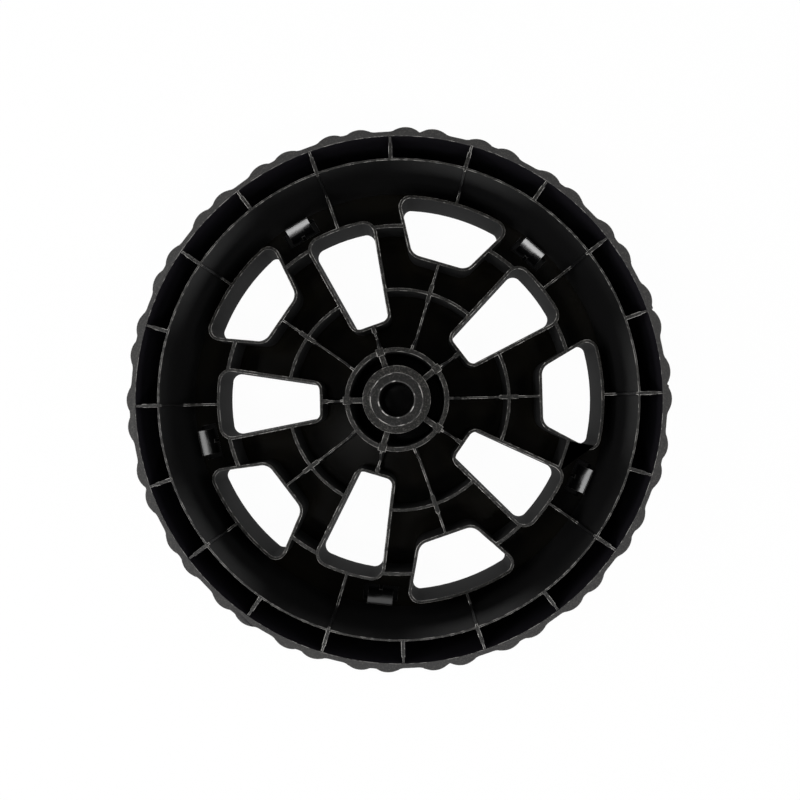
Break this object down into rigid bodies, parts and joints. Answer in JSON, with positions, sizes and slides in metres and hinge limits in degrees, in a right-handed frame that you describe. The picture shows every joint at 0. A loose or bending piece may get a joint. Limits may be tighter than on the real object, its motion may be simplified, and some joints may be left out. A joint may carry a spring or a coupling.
{
  "type": "wheel",
  "caption": "Black moulded plastic wheel with a barred tread, a ribbed open back, windows through the web, a bushed hub and a clip-on front cover.",
  "frame": {"origin": "on the axle line, level with the front edge of the tread on which the wheel lies", "axes": "+Z along the axle line, out of the ribbed back; +X through the middle of one outer window"},
  "size_m": [0.203, 0.2026, 0.0457],
  "materials": {
    "wheel_plastic": "fine satin moulded black",
    "bush_plastic": "dark satin bearing plastic",
    "cover_plastic": "smooth satin black"
  },
  "bodies": {
    "root": {"wheel_moulding": "wheel_plastic", "hub_bush": "bush_plastic", "front_cover": "cover_plastic"}
  },
  "joints": []
}
